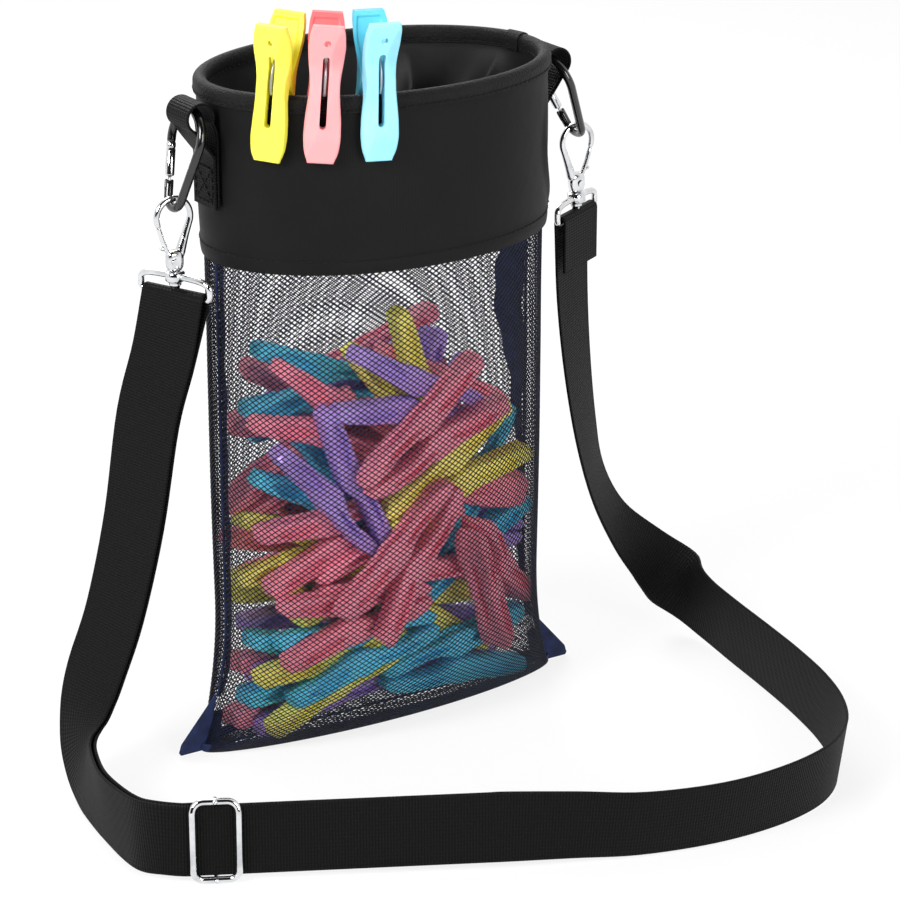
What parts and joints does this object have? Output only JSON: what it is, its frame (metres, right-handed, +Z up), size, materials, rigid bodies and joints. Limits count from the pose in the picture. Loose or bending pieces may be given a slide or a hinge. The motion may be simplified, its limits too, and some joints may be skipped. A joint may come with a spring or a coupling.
{
  "type": "peg bag",
  "caption": "Net pouch with a stiff oval mouth for clothes pegs, clipped by carabiners and swivel hooks to an adjustable shoulder strap.",
  "frame": {"origin": "middle of the bottom seam, on the surface that the pouch stands on", "axes": "+X along the mouth's long axis, +Y from the front panel to the back panel, +Z up"},
  "size_m": [0.4149, 0.3148, 0.399],
  "materials": {
    "net": "knitted mesh",
    "nylon": "plain woven nylon",
    "binding": "grosgrain tape",
    "webbing": "ribbed webbing",
    "hoop": "extruded",
    "chrome": "polished",
    "black_metal": "satin black",
    "spring_steel": "drawn wire",
    "yellow_peg": "moulded",
    "pink_peg": "moulded",
    "blue_peg": "moulded",
    "peg_rose": "moulded",
    "peg_purple": "moulded",
    "peg_olive": "moulded",
    "peg_teal": "moulded"
  },
  "bodies": {
    "bag": {"mesh_front_panel": "net", "mesh_back_panel": "net", "left_side_seam": "net", "right_side_seam": "net", "bottom_seam": "net", "collar_outer": "nylon", "collar_lining": "nylon", "rim_binding": "binding", "rim_hoop": "hoop", "left_webbing_loop": "webbing", "right_webbing_loop": "webbing", "strap_main": "webbing", "strap_adjuster_run": "webbing", "loose_peg_01": "peg_rose", "loose_peg_02": "peg_rose", "loose_peg_03": "peg_purple", "loose_peg_04": "peg_rose", "loose_peg_05": "peg_olive", "loose_peg_06": "peg_purple", "loose_peg_07": "peg_olive", "loose_peg_08": "peg_teal", "loose_peg_09": "peg_teal", "loose_peg_10": "peg_rose", "loose_peg_11": "peg_rose", "loose_peg_12": "peg_olive", "loose_peg_13": "peg_purple", "loose_peg_14": "peg_olive", "loose_peg_15": "peg_teal", "loose_peg_16": "peg_rose", "loose_peg_17": "peg_teal", "loose_peg_18": "peg_purple", "loose_peg_19": "peg_olive", "loose_peg_20": "peg_rose", "loose_peg_21": "peg_teal", "loose_peg_22": "peg_rose"},
    "left_carabiner": {"left_carabiner_body": "black_metal", "left_carabiner_pin": "chrome"},
    "left_carabiner_gate": {"left_carabiner_gate": "chrome"},
    "left_strap_base": {"left_strap_base": "chrome"},
    "left_hook": {"left_hook_body": "chrome", "left_hook_rivet": "chrome"},
    "left_hook_gate": {"left_hook_gate": "chrome"},
    "right_carabiner": {"right_carabiner_body": "black_metal", "right_carabiner_pin": "chrome"},
    "right_carabiner_gate": {"right_carabiner_gate": "chrome"},
    "right_strap_base": {"right_strap_base": "chrome"},
    "right_hook": {"right_hook_body": "chrome", "right_hook_rivet": "chrome"},
    "right_hook_gate": {"right_hook_gate": "chrome"},
    "slider": {"slider_frame": "chrome", "slider_bar": "chrome"},
    "yellow_peg": {"yellow_peg_front_lever": "yellow_peg", "yellow_peg_spring": "spring_steel"},
    "yellow_peg_back": {"yellow_peg_back_lever": "yellow_peg"},
    "pink_peg": {"pink_peg_front_lever": "pink_peg", "pink_peg_spring": "spring_steel"},
    "pink_peg_back": {"pink_peg_back_lever": "pink_peg"},
    "blue_peg": {"blue_peg_front_lever": "blue_peg", "blue_peg_spring": "spring_steel"},
    "blue_peg_back": {"blue_peg_back_lever": "blue_peg"}
  },
  "joints": [
    {"name": "left_carabiner_swing", "type": "hinge", "parent": "bag", "child": "left_carabiner", "pos_m": [-0.10695, 0, 0.345], "axis": [0, -1, 0], "range_deg": [-1, 2]},
    {"name": "left_carabiner_gate_open", "type": "hinge", "parent": "left_carabiner", "child": "left_carabiner_gate", "pos_m": [-0.11568, 0.0082, 0.30999], "axis": [0.9703, 0, -0.2419], "range_deg": [0, 25], "stiffness_Nm_per_rad": 0.05, "springref_deg": -11.46},
    {"name": "left_strap_base_tilt", "type": "hinge", "parent": "bag", "child": "left_strap_base", "pos_m": [-0.11821, 0, 0.25458], "axis": [0.3998, -0.9166, 0], "range_deg": [-1, 1]},
    {"name": "left_hook_swivel", "type": "hinge", "parent": "left_strap_base", "child": "left_hook", "pos_m": [-0.11821, 0, 0.26458], "axis": [0, 0, 1], "range_deg": [-20, 20]},
    {"name": "left_hook_gate_open", "type": "hinge", "parent": "left_hook", "child": "left_hook_gate", "pos_m": [-0.11941, 0, 0.27208], "axis": [0, 1, 0], "range_deg": [0, 20], "stiffness_Nm_per_rad": 0.05, "springref_deg": -11.46},
    {"name": "right_carabiner_swing", "type": "hinge", "parent": "bag", "child": "right_carabiner", "pos_m": [0.10695, 0, 0.345], "axis": [0, 1, 0], "range_deg": [-1, 2]},
    {"name": "right_carabiner_gate_open", "type": "hinge", "parent": "right_carabiner", "child": "right_carabiner_gate", "pos_m": [0.1222, 0.0082, 0.31229], "axis": [0.9063, 0, 0.4226], "range_deg": [0, 25], "stiffness_Nm_per_rad": 0.05, "springref_deg": -11.46},
    {"name": "right_strap_base_tilt", "type": "hinge", "parent": "bag", "child": "right_strap_base", "pos_m": [0.12662, 0, 0.25756], "axis": [0.8821, 0.4711, 0], "range_deg": [-1, 1]},
    {"name": "right_hook_swivel", "type": "hinge", "parent": "right_strap_base", "child": "right_hook", "pos_m": [0.12662, 0, 0.26756], "axis": [0, 0, 1], "range_deg": [-20, 20]},
    {"name": "right_hook_gate_open", "type": "hinge", "parent": "right_hook", "child": "right_hook_gate", "pos_m": [0.12782, 0, 0.27506], "axis": [0, -1, 0], "range_deg": [0, 20], "stiffness_Nm_per_rad": 0.05, "springref_deg": -11.46},
    {"name": "slider_slide", "type": "slide", "parent": "bag", "child": "slider", "axis": [0.8896, -0.4568, 0], "range_m": [0, 0.1]},
    {"name": "yellow_peg_lift", "type": "slide", "parent": "bag", "child": "yellow_peg", "axis": [0.0657, -0.0698, 0.9954], "range_m": [0, 0.06]},
    {"name": "yellow_peg_squeeze", "type": "hinge", "parent": "yellow_peg", "child": "yellow_peg_back", "pos_m": [-0.07874, -0.03686, 0.36796], "axis": [0.682, -0.7251, -0.0958], "range_deg": [0, 7], "stiffness_Nm_per_rad": 0.5, "springref_deg": -11.46, "deforming": ["yellow_peg_spring"]},
    {"name": "pink_peg_lift", "type": "slide", "parent": "bag", "child": "pink_peg", "axis": [0.0605, -0.0348, 0.9976], "range_m": [0, 0.06]},
    {"name": "pink_peg_squeeze", "type": "hinge", "parent": "pink_peg", "child": "pink_peg_back", "pos_m": [-0.05978, -0.05124, 0.36798], "axis": [0.8645, -0.4978, -0.0698], "range_deg": [0, 7], "stiffness_Nm_per_rad": 0.5, "springref_deg": -11.46, "deforming": ["pink_peg_spring"]},
    {"name": "blue_peg_lift", "type": "slide", "parent": "bag", "child": "blue_peg", "axis": [0.0168, -0.0049, 0.9998], "range_m": [0, 0.06]},
    {"name": "blue_peg_squeeze", "type": "hinge", "parent": "blue_peg", "child": "blue_peg_back", "pos_m": [-0.0362, -0.06097, 0.368], "axis": [0.9602, -0.2788, -0.0175], "range_deg": [0, 7], "stiffness_Nm_per_rad": 0.5, "springref_deg": -11.46, "deforming": ["blue_peg_spring"]}
  ]
}
